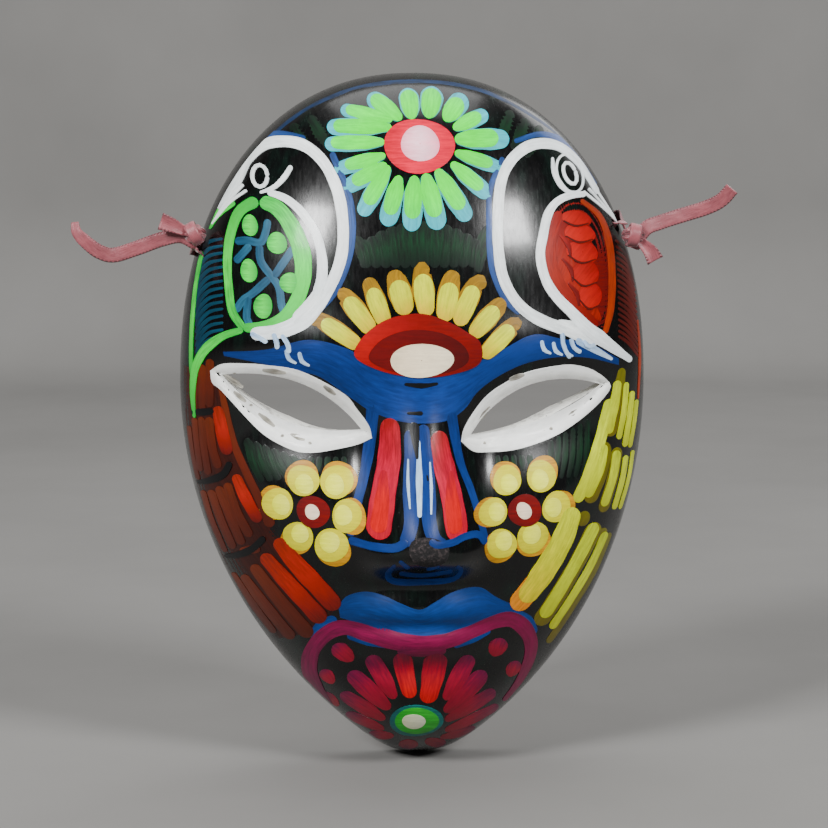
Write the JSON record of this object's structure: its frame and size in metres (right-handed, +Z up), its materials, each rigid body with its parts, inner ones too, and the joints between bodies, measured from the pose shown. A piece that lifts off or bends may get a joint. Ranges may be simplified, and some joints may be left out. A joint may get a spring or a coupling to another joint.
{
  "type": "folk art mask",
  "caption": "Oval hollow clay face mask, black with painted birds and flowers, open almond eyes and a satin ribbon knotted through a hole at each side.",
  "frame": {"origin": "middle of the flat back rim at the top of the forehead, in the plane the mask hangs against", "axes": "+Z up to the forehead, +Y back into the wall the rim lies on, so the face looks along -Y; +X is to the right of someone facing it"},
  "size_m": [0.1341, 0.041, 0.14],
  "materials": {
    "painted_clay": "glossy black varnish over painted fired clay",
    "satin_ribbon": "dusty pink woven satin with a soft sheen"
  },
  "bodies": {
    "mask": {"clay_shell": "painted_clay", "left_ribbon_loop": "satin_ribbon", "right_ribbon_loop": "satin_ribbon"},
    "left_knot": {"left_ribbon_knot": "satin_ribbon", "left_ribbon_stub": "satin_ribbon"},
    "left_tail": {"left_ribbon_tail": "satin_ribbon"},
    "right_knot": {"right_ribbon_knot": "satin_ribbon", "right_ribbon_stub": "satin_ribbon"},
    "right_tail": {"right_ribbon_tail": "satin_ribbon"}
  },
  "joints": [
    {"name": "left_knot_swivel", "type": "hinge", "parent": "mask", "child": "left_knot", "pos_m": [-0.04413, -0.01107, -0.02916], "axis": [0, 1, 0], "range_deg": [-45, 35], "stiffness_Nm_per_rad": 0.00005},
    {"name": "left_tail_fold", "type": "hinge", "parent": "left_knot", "child": "left_tail", "pos_m": [-0.04673, -0.01087, -0.02956], "axis": [0, 0, 1], "range_deg": [-45, 20], "stiffness_Nm_per_rad": 0.00005},
    {"name": "right_knot_swivel", "type": "hinge", "parent": "mask", "child": "right_knot", "pos_m": [0.04374, -0.01236, -0.0297], "axis": [0, 1, 0], "range_deg": [-35, 35], "stiffness_Nm_per_rad": 0.00005},
    {"name": "right_tail_fold", "type": "hinge", "parent": "right_knot", "child": "right_tail", "pos_m": [0.04624, -0.01206, -0.0284], "axis": [-0.3818, 0, 0.9243], "range_deg": [-20, 50], "stiffness_Nm_per_rad": 0.00005}
  ]
}
